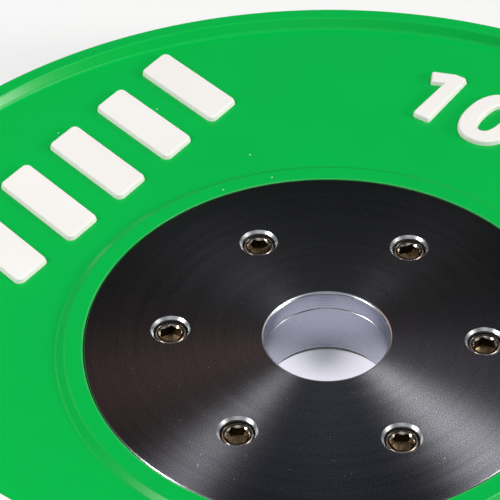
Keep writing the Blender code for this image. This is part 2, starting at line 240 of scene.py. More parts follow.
def superellipse(half_width: float, half_height: float, fullness: float, steps: int) -> np.ndarray:
    """Closed outline |x/a|^n + |y/b|^n = 1, counter-clockwise from its right end.

    Args:
        half_width: The a of the formula.
        half_height: The b of the formula.
        fullness: The n of the formula, 2 for an ellipse.
        steps: Number of points.

    Returns:
        Array of (x, y) points.
    """
    angle = np.arange(steps) * math.tau / steps
    x, y = np.cos(angle), np.sin(angle)
    return np.column_stack((half_width * np.sign(x) * abs(x) ** (2 / fullness),
                            half_height * np.sign(y) * abs(y) ** (2 / fullness)))


def placed(radius: np.ndarray | float, angle: np.ndarray, height: np.ndarray | float) -> np.ndarray:
    """Places (r cos a, r sin a, z) of radii, angles and heights, which are broadcast together."""
    x, y = np.cos(angle) * radius, np.sin(angle) * radius
    return np.stack(np.broadcast_arrays(x, y, height), axis=-1)


def revolve(profile: np.ndarray, steps: int, start: float = 0.0) -> np.ndarray:
    """Grid of a profile turned about Z.

    Args:
        profile: Array of (radius, height).
        steps: Number of steps round the axis.
        start: Angle of the first step.

    Returns:
        Array of shape (steps, points, 3).
    """
    angle = start + np.arange(steps)[:, None] * math.tau / steps
    return placed(profile[:, 0], angle, profile[:, 1])


# Meshes


def linked(name: str, data: bpy.types.ID) -> bpy.types.Object:
    """Put an object in the scene.

    Args:
        name: Name of the object.
        data: Its mesh, lamp or camera.

    Returns:
        The object.
    """
    thing = bpy.data.objects.new(name, data)
    bpy.context.scene.collection.objects.link(thing)
    return thing


class Shell:
    """Grids and flat faces gathered into one closed mesh."""

    def __init__(self) -> None:
        """Start with nothing."""
        self.points: list[np.ndarray] = []
        self.faces: list[list[int]] = []
        self.finishes: list[int] = []
        self.total = 0

    def take(self, points: np.ndarray) -> np.ndarray:
        """Keep points.

        Args:
            points: Array whose last axis is (x, y, z).

        Returns:
            Their numbers, in the same shape.
        """
        flat = points.reshape(-1, 3)
        numbers = self.total + np.arange(len(flat)).reshape(points.shape[:-1])
        self.points.append(flat)
        self.total += len(flat)
        return numbers

    def grid(self, points: np.ndarray, finish: int = 0) -> None:
        """Cover a grid of points with quads, its last row joined to its first.

        Args:
            points: Array of shape (rows, columns, 3).
            finish: Number of the material.
        """
        numbers = self.take(points)
        numbers = np.vstack((numbers, numbers[:1]))
        quads = np.stack((numbers[:-1, :-1], numbers[1:, :-1], numbers[1:, 1:], numbers[:-1, 1:]), axis=-1)
        quads = quads.reshape(-1, 4)
        self.faces.extend(quads.tolist())
        self.finishes.extend([int(finish)] * len(quads))

    def flat(self, ring: np.ndarray) -> None:
        """Close a ring of points with one flat face of the first material."""
        self.faces.append(self.take(ring).tolist())
        self.finishes.append(0)

    def build(self, name: str, materials: Sequence[Material], node: str, slot: str,
              place: Matrix | None = None) -> None:
        """Weld the seams, point the faces outwards and let the piece ride on the plate for its solid.

        Args:
            name: Name of the piece.
            materials: Its materials, in the order of the finish numbers.
            node: Name of the solid.
            slot: Name of its material slot; not used.
            place: Turn and shift of its mesh, or None where it is in place.
        """
        mesh = bpy.data.meshes.new(name)
        mesh.from_pydata(np.concatenate(self.points).tolist(), [], self.faces)
        mesh.polygons.foreach_set("material_index", self.finishes)
        for material in materials:
            mesh.materials.append(material)
        work = bmesh.new()
        work.from_mesh(mesh)
        bmesh.ops.remove_doubles(work, verts=work.verts, dist=WELD)
        bmesh.ops.recalc_face_normals(work, faces=work.faces)
        work.to_mesh(mesh)
        work.free()
        mesh.shade_smooth()
        mesh.set_sharp_from_angle(angle=SHARP_ANGLE)
        if place is not None:
            mesh.transform(place)
        thing = linked(name, mesh)
        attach(thing, "root")
        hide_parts(node)
        LOG.info("%s: %d faces", name, len(mesh.polygons))


# Finishes


@dataclass(frozen=True)
class Finish:
    """Recipe of a material: its name, its main colour and, in each kind of finish, its shader."""

    name: str
    colour: str

    def material(self) -> Material:
        """Make the material, which reads Object coordinates.

        Returns:
            The material.
        """
        material = bpy.data.materials.new(self.name)
        g = Graph(material)
        g.add("OutputMaterial", {"Surface": self.shader(g, g.add("TexCoord", output="Object"))})
        return material

    def shader(self, g: Graph, place: Socket) -> Socket:
        """Each kind of finish adds its own shader's nodes."""
        raise NotImplementedError


@dataclass(frozen=True)
class MouldedRubber(Finish):
    """Vulcanised rubber as it leaves a spark-eroded mould.

    To the eye it is one even colour with a satin sheen. Clouds of the mix shift both a little, the grain
    breaks up reflections, a few pale specks of dust lie about, and a pale line at the highlight radius is
    painted in places as a highlight on the pocket's edge. The real grain is about 0.1 mm, too fine to
    show, so it is drawn at 0.45 mm.
    """

    cloud_colour: str
    dust_and_highlight_colour: str
    roughness: float = 0.26
    sheen_drift: float = 0.01
    specular: float = 0.22
    ior: float = 1.52
    grain: float = 0.45 * MM
    grain_depth: float = 0.004 * MM
    cloud: float = 42.0 * MM
    cloud_span: Pair = (0.35, 0.65)
    dust_cell: float = 11.0 * MM
    dust_size: float = 0.028
    dust_share: float = 0.25
    highlight_radius: float = 100.25 * MM
    highlight_half_width: float = 0.3 * MM
    pale_span: Pair = (0.3, 0.6)
    highlight_least: float = 0.3
    highlight_share: float = 0.0

    def shader(self, g: Graph, place: Socket) -> Socket:
        """Clouded colour, paled by dust and by a painted highlight line, under a satin sheen with the
        grain's bump.

        Args:
            g: The material's node tree.
            place: Object coordinates.

        Returns:
            The shader's output.
        """
        cloud = g.add("TexNoise", {"Vector": place, "Scale": 1 / self.cloud, "Detail": 1.0})
        share = g.add("MapRange", {0: cloud, 1: self.cloud_span[0], 2: self.cloud_span[1]},
                      interpolation_type="SMOOTHSTEP")
        colour = g.add("Mix", {0: share, 6: linear(self.colour), 7: linear(self.cloud_colour)}, 2,
                       data_type="RGBA")
        cell = {"Vector": place, "Scale": 1 / self.dust_cell}
        near = g.add("MapRange", {0: g.add("TexVoronoi", cell, "Distance"), 1: self.dust_size * SPECK_EDGE,
                                  2: self.dust_size}, interpolation_type="SMOOTHSTEP")
        chosen = g.add("Math", {0: g.add("SeparateColor", {0: g.add("TexVoronoi", cell, "Color")}),
                                1: 1 - self.dust_share}, operation="GREATER_THAN")
        dust = g.add("Math", {0: near, 1: chosen}, operation="MULTIPLY")
        flat = g.add("VectorMath", {0: place, 1: IN_PLANE}, operation="MULTIPLY")
        radius = g.add("VectorMath", {0: flat}, "Value", operation="LENGTH")
        # Painted highlight: a pale line at the pocket's edge, stronger where the cloud is high.
        line = g.add("Math", {0: radius, 1: self.highlight_radius, 2: self.highlight_half_width}, operation="COMPARE")
        highlight_strength = g.add("MapRange", {0: cloud, 1: self.pale_span[0], 2: self.pale_span[1],
                                  3: self.highlight_least * self.highlight_share, 4: self.highlight_share})
        painted_edge_highlight = g.add("Math", {0: line, 1: highlight_strength}, operation="MULTIPLY")
        pale = g.add("Math", {0: dust, 1: painted_edge_highlight}, operation="MAXIMUM")
        colour = g.add("Mix", {0: pale, 6: colour, 7: linear(self.dust_and_highlight_colour)}, 2, data_type="RGBA")
        grain = g.add("TexNoise", {"Vector": place, "Scale": 1 / self.grain, "Detail": 2.0})
        rough = g.add("MapRange", {**NOISE_SPAN, 0: cloud, 3: self.roughness - self.sheen_drift,
                                   4: self.roughness + self.sheen_drift})
        return g.add("BsdfPrincipled", {
            "Base Color": colour, "Roughness": rough, "IOR": self.ior, "Specular IOR Level": self.specular,
            "Normal": g.add("Bump", {"Height": grain, "Distance": self.grain_depth})})


@dataclass(frozen=True)
class TurnedSteel(Finish):
    """Steel cut on a lathe: rings left by the tool's feed spread a lamp's reflection into a fan.

    A real feed is about 0.2 mm a turn, too fine to show, so the rings are drawn 0.9 mm apart, and the
    scratches along them 0.45 mm. Their long flanks lean outwards by "lean", from its first value at
    fade_start to its last at fade_end, so the fan on the near side is the brighter one. They sway to and
    fro along the cut by "drift". The sheen is stretched by "anisotropy", a quarter turn from the cut.
    Wider bands shift the colour and sheen, the rings and a fine mottle shade the colour by their tints,
    and dust lies on it in specks.
    """

    ring_colour: str
    roughness: Pair
    anisotropy: float
    lean: Pair = (0.0, 0.0)
    drift: float = 0.0
    grain_turn: float = 0.25
    feed: float = 0.9 * MM
    feed_depth: float = 0.014 * MM
    streak: float = 0.45 * MM
    streak_depth: float = 0.002 * MM
    band: float = 3.6 * MM
    band_tint: Pair = (0.1, 0.4)
    band_fade: Pair = (0.75, -0.25)
    band_sheen: float = 0.012
    mottle: float = 0.8 * MM
    mottle_depth: float = 0.012 * MM
    groove_tint: float = 0.0
    grain_tint: float = 0.06
    speck_colour: str = "#C9CCD2"
    speck_cell: float = 4.5 * MM
    speck_size: float = 0.035
    speck_strength: float = 0.0
    fade_start: float = 0.0
    fade_end: float = 200.0 * MM

    def shader(self, g: Graph, place: Socket) -> Socket:
        """Metal whose rings follow the distance from the bore's axis plus the height.

        Args:
            g: The material's node tree.
            place: Object coordinates.

        Returns:
            The shader's output.
        """
        flat = g.add("VectorMath", {0: place, 1: IN_PLANE}, operation="MULTIPLY")
        outward = g.add("VectorMath", {0: flat}, operation="NORMALIZE")
        radius = g.add("VectorMath", {0: flat}, "Value", operation="LENGTH")
        run = {0: radius, 1: self.fade_start, 2: self.fade_end}
        travel = g.add("Math", {0: radius, 1: g.add("SeparateXYZ", {0: place}, "Z")}, operation="ADD")
        ringed = []
        for pitch in (self.band, self.streak):
            rise = g.add("CombineXYZ", {2: g.add("Math", {0: travel, 1: pitch}, operation="DIVIDE")})
            spot = g.add("VectorMath", {0: outward, 1: rise}, operation="ADD")
            ringed.append(g.add("TexNoise", {"Vector": spot, "Scale": 1.0, "Detail": 3.0}))
        bands, streaks = ringed
        turns = g.add("Math", {0: travel, 1: math.tau / self.feed}, operation="MULTIPLY")
        feed = g.add("Math", {0: turns}, operation="SINE")
        mottle = g.add("TexNoise", {"Vector": place, "Scale": 1 / self.mottle, "Detail": 3.0})
        normal = g.add("Bump", {"Height": mottle, "Distance": self.mottle_depth})
        for height, depth in ((streaks, self.streak_depth), (feed, self.feed_depth / 2)):
            normal = g.add("Bump", {"Height": height, "Distance": depth, "Normal": normal})
        if self.drift:
            along = g.add("VectorMath", {0: (0.0, 0.0, 1.0), 1: outward}, operation="CROSS_PRODUCT")
            sway = g.add("MapRange", {**NOISE_SPAN, 0: bands, 3: -self.drift, 4: self.drift})
            lean = g.add("MapRange", {**run, 3: self.lean[0], 4: self.lean[1]})
            for way, amount in ((outward, lean), (along, sway)):
                shift = g.add("VectorMath", {0: way, "Scale": amount}, operation="SCALE")
                normal = g.add("VectorMath", {0: normal, 1: shift}, operation="ADD")
            normal = g.add("VectorMath", {0: normal}, operation="NORMALIZE")
        fade = g.add("MapRange", {**run, 3: self.band_fade[0], 4: self.band_fade[1]})
        tint = g.add("MapRange", {**NOISE_SPAN, 0: bands, 3: self.band_tint[0], 4: self.band_tint[1]})
        tint = g.add("Math", {0: tint, 1: fade}, operation="ADD", use_clamp=True)
        colour = g.add("Mix", {0: tint, 6: linear(self.colour), 7: linear(self.ring_colour)}, 2,
                       data_type="RGBA")
        grooves = g.add("MapRange", {0: feed, 1: -1.0, 2: 1.0, 3: 1 - self.groove_tint,
                                     4: 1 + self.groove_tint})
        grain = g.add("MapRange", {**NOISE_SPAN, 0: mottle, 3: 1 - self.grain_tint, 4: 1 + self.grain_tint})
        shade = g.add("Math", {0: grooves, 1: grain}, operation="MULTIPLY")
        colour = g.add("VectorMath", {0: colour, "Scale": shade}, operation="SCALE")
        near = g.add("TexVoronoi", {"Vector": place, "Scale": 1 / self.speck_cell}, "Distance")
        speck = g.add("MapRange", {0: near, 1: self.speck_size * SPECK_EDGE, 2: self.speck_size,
                                   4: self.speck_strength}, interpolation_type="SMOOTHSTEP")
        colour = g.add("Mix", {0: speck, 6: colour, 7: linear(self.speck_colour)}, 2, data_type="RGBA")
        rough = g.add("MapRange", {**run, 3: self.roughness[0], 4: self.roughness[1]})
        sheen = g.add("MapRange", {**NOISE_SPAN, 0: bands, 3: -self.band_sheen, 4: self.band_sheen})
        return g.add("BsdfPrincipled", {
            "Base Color": colour, "Metallic": 1.0, "Normal": normal, "Anisotropic": self.anisotropy,
            "Roughness": g.add("Math", {0: rough, 1: sheen}, operation="ADD"),
            "Anisotropic Rotation": self.grain_turn,
            "Tangent": g.add("Tangent", direction_type="RADIAL", axis="Z")})


@dataclass(frozen=True)
class DarkNickel(Finish):
    """Nickel over a cold-formed screw: a warm mirror with faint die marks, paler in patches of wear.

    The real marks are about 0.1 mm apart, too fine to show, so they are drawn at 1.1 mm.
    """

    worn_colour: str
    roughness: float
    sheen_span: Pair = (-0.03, 0.05)
    mark: float = 1.1 * MM
    mark_depth: float = 0.0015 * MM
    pale_span: Pair = (0.4, 0.7)

    def shader(self, g: Graph, place: Socket) -> Socket:
        """Metal that one noise tints, dulls and dents.

        Args:
            g: The material's node tree.
            place: Object coordinates.

        Returns:
            The shader's output.
        """
        noise = g.add("TexNoise", {"Vector": place, "Scale": 1 / self.mark, "Detail": 3.0})
        share = g.add("MapRange", {0: noise, 1: self.pale_span[0], 2: self.pale_span[1]},
                      interpolation_type="SMOOTHSTEP")
        colour = g.add("Mix", {0: share, 6: linear(self.colour), 7: linear(self.worn_colour)}, 2,
                       data_type="RGBA")
        rough = g.add("MapRange", {**NOISE_SPAN, 0: noise, 3: self.roughness + self.sheen_span[0],
                                   4: self.roughness + self.sheen_span[1]})
        return g.add("BsdfPrincipled", {
            "Base Color": colour, "Metallic": 1.0, "Roughness": rough,
            "Normal": g.add("Bump", {"Height": noise, "Distance": self.mark_depth})})


# Sub-assemblies


@dataclass(frozen=True)
class Layout:
    """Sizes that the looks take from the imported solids."""

    outer_radius: float
    front_hub: float
    back_hub: float
    disc_radius: float
    front_disc_base: float
    spigot_top: float
    anchor_low: float
    anchor_high: float
    anchor_radius: float

    @classmethod
    def read(cls) -> "Layout":
        """Read the boxes of the solids.

        Returns:
            The sizes.
        """
        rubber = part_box("rubber_body")[1]
        front_low, front_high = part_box("front_hub_disc")
        back_low, back_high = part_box("back_hub_disc")
        anchor_low, anchor_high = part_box("anchor_plate")
        return cls(rubber.x, front_high.z, back_low.z, front_high.x, front_low.z, back_high.z,
                   anchor_low.z, anchor_high.z, anchor_high.x)

    def hub(self, side: Side) -> float:
        """Height of the hub's face."""
        return self.front_hub if side is Side.FRONT else self.back_hub


@dataclass(frozen=True)
class Drilling:
    """Holes evenly spaced on a circle, each in the middle of its own sector of a flat ring.

    A flat ring is given as its inner and outer radius, and places in it are complex numbers.
    """

    count: int = 6
    circle_radius: float = 64.4 * MM
    first_angle: float = math.radians(-3.0)
    arc_steps: int = 40
    side_steps: int = 24
    face_rows: int = 3
    row_growth: float = 1.5

    @property
    def steps(self) -> int:
        """Steps round the plate that meet the sectors' arcs point by point."""
        return self.count * self.arc_steps

    @property
    def start(self) -> float:
        """Angle at which the first sector starts."""
        return self.first_angle - math.pi / self.count

    def turned(self, profile: Sequence[Pair] | np.ndarray) -> np.ndarray:
        """Grid of a (radius, height) profile turned about the bore in the sectors' steps."""
        return revolve(np.array(profile), self.steps, self.start)

    def sector(self, ring: Pair) -> np.ndarray:
        """Outline of the sector about the +X axis: outer arc, side, inner arc, side.

        Args:
            ring: Radii of the flat ring.

        Returns:
            Complex places, as a column.
        """
        inner, outer = ring
        half = math.pi / self.count
        arc = np.linspace(-half, half, self.arc_steps + 1)[:-1]
        side = np.linspace(outer, inner, self.side_steps + 1)[:-1]
        return np.concatenate((outer * np.exp(1j * arc), side * np.exp(1j * half), inner * np.exp(-1j * arc),
                               (inner + outer - side) * np.exp(-1j * half)))[:, None]

    def directions(self, ring: Pair) -> np.ndarray:
        """Direction of each outline point as the hole's centre sees it, as a column."""
        seen = self.sector(ring) - self.circle_radius
        return seen / abs(seen)

    def spread(self, grid: np.ndarray, heights: np.ndarray | float) -> Iterator[np.ndarray]:
        """Copies of a sector's grid of complex places, one for each hole.

        Args:
            grid: Complex places in the sector about +X, shape (around, along).
            heights: Height of each place along the second axis.

        Yields:
            Array of shape (around, along, 3) for each hole.
        """
        for index in range(self.count):
            turned = grid * np.exp(1j * (self.first_angle + index * math.tau / self.count))
            yield np.stack((turned.real, turned.imag, np.broadcast_to(heights, grid.shape)), axis=-1)

    def face(self, shell: Shell, ring: Pair, hole: float, height: float, finish: int = 0) -> None:
        """Add a flat drilled ring: places run straight from each hole's edge to its sector's outline.

        Args:
            shell: The mesh to add to.
            ring: Radii of the flat ring.
            hole: Radius of the holes.
            height: Height of the face.
            finish: Number of the material.
        """
        edge = self.circle_radius + hole * self.directions(ring)
        share = np.linspace(0, 1, self.face_rows + 1) ** self.row_growth
        for grid in self.spread(edge + (self.sector(ring) - edge) * share, height):
            shell.grid(grid, finish)

    def walls(self, shell: Shell, first: Pair, last: Pair, profile: np.ndarray, finish: int = 0) -> None:
        """Add the wall of each hole.

        A place is the hole's centre plus the profile's radius along a direction, which goes from that of
        the first face's ring to that of the last one's.

        Args:
            shell: The mesh to add to.
            first: Radii of the flat ring at the profile's start.
            last: The same at its end.
            profile: Array of (radius, height) in the hole.
            finish: Number of the material.
        """
        share = np.linspace(0, 1, len(profile))
        way = self.directions(first) * (1 - share) + self.directions(last) * share
        way /= abs(way)
        for grid in self.spread(self.circle_radius + way * profile[:, 0], profile[:, 1]):
            shell.grid(grid, finish)


@dataclass(frozen=True)
class RubberRing:
    """Moulded ring: raised rim, web and lip on both faces, pockets for the discs, slot for the anchor."""

    layout: Layout
    drilling: Drilling
    rim_width: float = 7.0 * MM
    rim_slope: float = 3.0 * MM
    rim_edge_round: float = 0.9 * MM
    rim_inner_round: float = 1.2 * MM
    rim_foot_round: float = 2.4 * MM
    web_drop: float = 2.0 * MM
    lip_width: float = 7.6 * MM
    lip_slope: float = 3.5 * MM
    lip_edge_round: float = 2.0 * MM
    lip_foot_round: float = 2.4 * MM
    pocket_edge_round: float = 0.2 * MM
    clearance: float = 0.3 * MM
    flange_top: float = 10.8 * MM
    spigot_radius: float = 34.3 * MM
    hole_radius: float = 4.5 * MM

    @property
    def pocket_radius(self) -> float:
        """Radius of the pocket that a disc sits in."""
        return self.layout.disc_radius + self.clearance

    @property
    def web_inner(self) -> float:
        """Radius at which the web starts, outside the lip."""
        return self.pocket_radius + self.lip_width + self.lip_slope

    @property
    def web_outer(self) -> float:
        """Radius at which the web ends, inside the rim."""
        return self.layout.outer_radius - self.rim_width - self.rim_slope

    def web(self, side: Side) -> float:
        """Height of the web's surface."""
        return self.layout.hub(side) - side.value * self.web_drop

    def face_corners(self, side: Side, floor: float) -> list[Corner]:
        """Corners of one face's profile.

        Args:
            side: The face.
            floor: Height of the pocket's floor.

        Returns:
            Corners from the pocket's floor out to the outer edge.
        """
        layout, hub, web = self.layout, self.layout.hub(side), self.web(side)
        rim = hub + side.value * layout.back_hub
        return [
            (self.pocket_radius, floor, 0),
            (self.pocket_radius, hub, self.pocket_edge_round),
            (self.pocket_radius + self.lip_width, hub, self.lip_edge_round),
            (self.web_inner, web, self.lip_foot_round),
            (self.web_outer, web, self.rim_foot_round),
            (layout.outer_radius - self.rim_width, rim, self.rim_inner_round),
            (layout.outer_radius, rim, self.rim_edge_round)]

    def build(self, material: Material) -> None:
        """Make the ring: its outer skin, then the walls, floors and screw holes that lie inside the hub.

        Args:
            material: Material of the whole ring.
        """
        layout, drilling, hole = self.layout, self.drilling, self.hole_radius
        front_floor = layout.front_disc_base - self.clearance
        back_floor = self.flange_top + self.clearance
        slot_low, slot_high = layout.anchor_low - self.clearance, layout.anchor_high + self.clearance
        pocket = (self.spigot_radius, self.pocket_radius)
        slot = (self.spigot_radius, layout.anchor_radius + self.clearance)
        skin = self.face_corners(Side.FRONT, front_floor) + self.face_corners(Side.BACK, back_floor)[::-1]
        shell = Shell()
        shell.grid(drilling.turned(rounded(skin, closed=False)))
        for radius, low, high in ((slot[1], slot_low, slot_high), (slot[0], slot_high, front_floor),
                                  (slot[0], back_floor, slot_low)):
            shell.grid(drilling.turned(((radius, low), (radius, high))))
        for pocket_floor, slot_wall in ((front_floor, slot_high), (back_floor, slot_low)):
            drilling.face(shell, pocket, hole, pocket_floor)
            drilling.face(shell, slot, hole, slot_wall)
            drilling.walls(shell, pocket, slot, np.array(((hole, pocket_floor), (hole, slot_wall))))
        shell.build("moulded_rubber_ring", [material], "rubber_body", "green_rubber")


@dataclass(frozen=True)
class HubDiscs:
    """Two steel discs: the front one counterbored, the back one threaded and with the bore's spigot."""

    layout: Layout
    drilling: Drilling
    bore_radius: float = 25.5 * MM
    bore_chamfer: float = 1.2 * MM
    chamfer_crown: float = math.radians(80.0)
    crown_steps: int = 8
    edge_chamfer: float = 0.5 * MM
    seam_chamfer: float = 0.2 * MM
    seam: float = 8.7 * MM
    register_radius: float = 34.3 * MM
    spigot_radius: float = 34.0 * MM
    flange_top: float = 10.8 * MM
    counterbore_radius: float = 7.15 * MM
    counterbore_chamfer: float = 1.05 * MM
    counterbore_floor: float = 24.9 * MM
    hole_radius: float = 4.5 * MM
    thread_radius: float = 4.3 * MM
    thread_depth: float = 0.55 * MM
    thread_pitch: float = 1.25 * MM
    thread_chamfer: float = 0.7 * MM

    @property
    def face(self) -> Pair:
        """Radii of a disc's flat outer face."""
        return self.bore_radius + self.bore_chamfer, self.layout.disc_radius - self.edge_chamfer

    def turn(self, shell: Shell, side: Side, seam: float, step: float, inner_face: float) -> None:
        """Add a disc's turned surfaces.

        The edge runs from the face's chamfer to the inner face. The bore's chamfer is crowned: an arc from
        the face to the bore's wall. The wall ends in a small chamfer at the seam, and from there the
        profile goes out to a step and along it to the inner face.

        Args:
            shell: The mesh to add to.
            side: Where the disc's outer face looks.
            seam: Height at which the discs meet in the bore.
            step: Radius of the register or the spigot.
            inner_face: Height of the disc's inner face.
        """
        hub, sign, rim, bore = self.layout.hub(side), side.value, self.layout.disc_radius, self.bore_radius
        outside = ((self.face[1], hub), (rim, hub - sign * self.edge_chamfer), (rim, inner_face))
        crown = xy(turned_chord(complex(self.face[0], hub), complex(bore, hub - sign * self.bore_chamfer),
                                sign * self.chamfer_crown, self.crown_steps))
        lip = (bore, seam + sign * self.seam_chamfer)
        inside = (lip, (bore + self.seam_chamfer, seam), (step, seam), (step, inner_face))
        for profile, part in ((outside[::sign], DiscPart.EDGE), (crown, DiscPart.CHAMFER),
                              ((crown[-1], lip), DiscPart.BORE), (inside, DiscPart.CHAMFER)):
            shell.grid(self.drilling.turned(profile), part)

    def build_front(self, finishes: Sequence[Material]) -> None:
        """Make the front disc, counterbored for the heads.

        Args:
            finishes: Materials in the order of DiscPart.
        """
        top, base = self.layout.front_hub, self.layout.front_disc_base
        inside = (self.register_radius, self.layout.disc_radius)
        mouth = self.counterbore_radius + self.counterbore_chamfer
        shell = Shell()
        self.drilling.face(shell, self.face, mouth, top)
        self.drilling.face(shell, inside, self.hole_radius, base, DiscPart.CHAMFER)
        self.turn(shell, Side.FRONT, top - self.seam, self.register_radius, base)
        hole = np.array(((mouth, top), (self.counterbore_radius, top - self.counterbore_chamfer),
                         (self.counterbore_radius, self.counterbore_floor),
                         (self.hole_radius, self.counterbore_floor), (self.hole_radius, base)))
        self.drilling.walls(shell, self.face, inside, hole, DiscPart.HOLE)
        shell.build("turned_front_disc", finishes, "front_hub_disc", "black_turned_steel")

    def thread(self, top: float, bottom: float) -> np.ndarray:
        """Profile of a threaded hole: V grooves, one to each turn's pitch, cut outwards from the radius."""
        height = np.arange(top, bottom, -self.thread_pitch / 2)
        return np.column_stack((self.thread_radius + np.arange(len(height)) % 2 * self.thread_depth, height))

    def build_back(self, finishes: Sequence[Material]) -> None:
        """Make the back disc with its threaded holes and the spigot that lines the bore.

        Args:
            finishes: Materials in the order of DiscPart.
        """
        low, top = self.layout.back_hub, self.flange_top
        inside = (self.spigot_radius, self.layout.disc_radius)
        mouth = self.thread_radius + self.thread_chamfer
        shell = Shell()
        self.drilling.face(shell, self.face, mouth, low)
        self.drilling.face(shell, inside, self.thread_radius, top, DiscPart.CHAMFER)
        self.turn(shell, Side.BACK, self.layout.spigot_top, self.spigot_radius, top)
        hole = np.concatenate((self.thread(top, low + self.thread_chamfer + self.thread_pitch / 2), (
            (self.thread_radius, low + self.thread_chamfer), (mouth, low))))
        self.drilling.walls(shell, inside, self.face, hole, DiscPart.HOLE)
        shell.build("turned_back_disc", finishes, "back_hub_disc", "black_turned_steel")


@dataclass(frozen=True)
class SocketScrew:
    """Socket head cap screw, sunk in its counterbore, with a rolled thread on its lower shank."""

    head_radius: float = 6.5 * MM
    head_height: float = 8.0 * MM
    head_round: float = 0.85 * MM
    across_flats: float = 8.4 * MM
    entry_margin: float = 0.15 * MM
    socket_depth: float = 4.9 * MM
    floor_cone: float = 0.7 * MM
    shank_radius: float = 4.0 * MM
    tip_chamfer: float = 0.8 * MM
    thread_length: float = 16.0 * MM
    thread_pitch: float = 1.25 * MM
    thread_depth: float = 0.6 * MM
    steps: int = 96
    rows_to_pitch: int = 6
    turns_deg: tuple[float, ...] = (38.0, 17.0, 0.0, 30.0, 2.0, -2.0)

    @property
    def entry(self) -> float:
        """Radius of the socket's entry cone in the head's top: the hexagon's corner and a margin."""
        return self.across_flats / math.sqrt(3.0) + self.entry_margin

    def socket(self, angle: np.ndarray, top: float) -> np.ndarray:
        """Grid of the hexagon socket, from the head's flat ring down to the middle of its floor.

        The hexagon's wall lies at apothem / cos(angle within a flat), its entry cone falls by as much as
        it comes inwards, and its floor is a cone.

        Args:
            angle: Angles round the screw, as a column.
            top: Height of the head's top.

        Returns:
            Array of shape (angles, 4, 3).
        """
        wall = self.across_flats / 2 / np.cos((angle % (math.tau / 6)) - math.pi / 6)
        floor = top - self.socket_depth
        corners = ((self.entry, top), (wall, top - (self.entry - wall)), (wall, floor),
                   (0.0, floor - self.floor_cone))
        return np.stack([placed(radius, angle, height)[:, 0] for radius, height in corners], axis=1)

    def thread(self, angle: np.ndarray, start: float, end: float) -> np.ndarray:
        """Grid of the helical thread.

        The radius falls from the shank's by depth times a triangle wave of (height / pitch + angle / turn),
        faded out at both ends.

        Args:
            angle: Angles round the screw, as a column.
            start: Height at which the thread starts.
            end: Height at which it ends, lower down.

        Returns:
            Array of shape (angles, rows, 3).
        """
        rows = int((start - end) / self.thread_pitch * self.rows_to_pitch)
        height = np.linspace(start, end, rows + 1)
        wave = abs((height / self.thread_pitch + angle / math.tau) % 1.0 * 2 - 1)
        fade = np.clip(np.minimum(start - height, height - end) / self.thread_pitch, 0, 1)
        return placed(self.shank_radius - self.thread_depth * wave * fade, angle, height)

    def build(self, index: int, finishes: Sequence[Material]) -> None:
        """Make one screw where its solid is.

        Args:
            index: Number of the screw, from 0.
            finishes: Materials in the order of ScrewPart.
        """
        node = f"hub_screw_{index + 1}"
        low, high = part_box(node)
        top, tip = high.z, low.z
        base, thread_end = top - self.head_height, tip + self.tip_chamfer
        thread_start = thread_end + self.thread_length
        head, shank = self.head_radius, self.shank_radius
        upper = rounded([(self.entry, top, 0), (head, top, self.head_round), (head, base, 0),
                         (shank, base, 0), (shank, thread_start, 0)], closed=False)
        below_edge = int(np.argmax(upper[:, 1] < top - self.head_round)) + 1
        lower = np.array(((shank, thread_end), (shank - self.tip_chamfer, tip), (0, tip)))
        angle = np.arange(self.steps)[:, None] * math.tau / self.steps
        socket, skin = self.socket(angle, top), revolve(upper, self.steps)
        shell = Shell()
        for grid, part in ((socket[:, :2], ScrewPart.ENTRY_CONE), (socket[:, 1:3], ScrewPart.SOCKET_WALL),
                           (socket[:, 2:], ScrewPart.SOCKET_FLOOR), (skin[:, :2], ScrewPart.SKIN),
                           (skin[:, 1:below_edge], ScrewPart.HEAD_EDGE),
                           (skin[:, below_edge - 1:], ScrewPart.SKIN),
                           (revolve(lower, self.steps), ScrewPart.SKIN),
                           (self.thread(angle, thread_start, thread_end), ScrewPart.SKIN)):
            shell.grid(grid, part)
        middle = (low + high) / 2
        turn = Matrix.Rotation(math.radians(self.turns_deg[index]), 4, "Z")
        shell.build(f"socket_screw_{index + 1}", finishes, node, "dark_nickel",
                    Matrix.Translation((middle.x, middle.y, 0)) @ turn)


@dataclass(frozen=True)
class Mark:
    """One mark of a face: its outlines about its own middle, and where that lies on the web.

    The mark's "up" points outwards along the angle, seen from above its face. Its middle is "across" from
    that line in the reading direction and "out" from the bore's axis along it.
    """

    name: str
    outlines: list[np.ndarray]
    angle: float
    across: float
    out: float


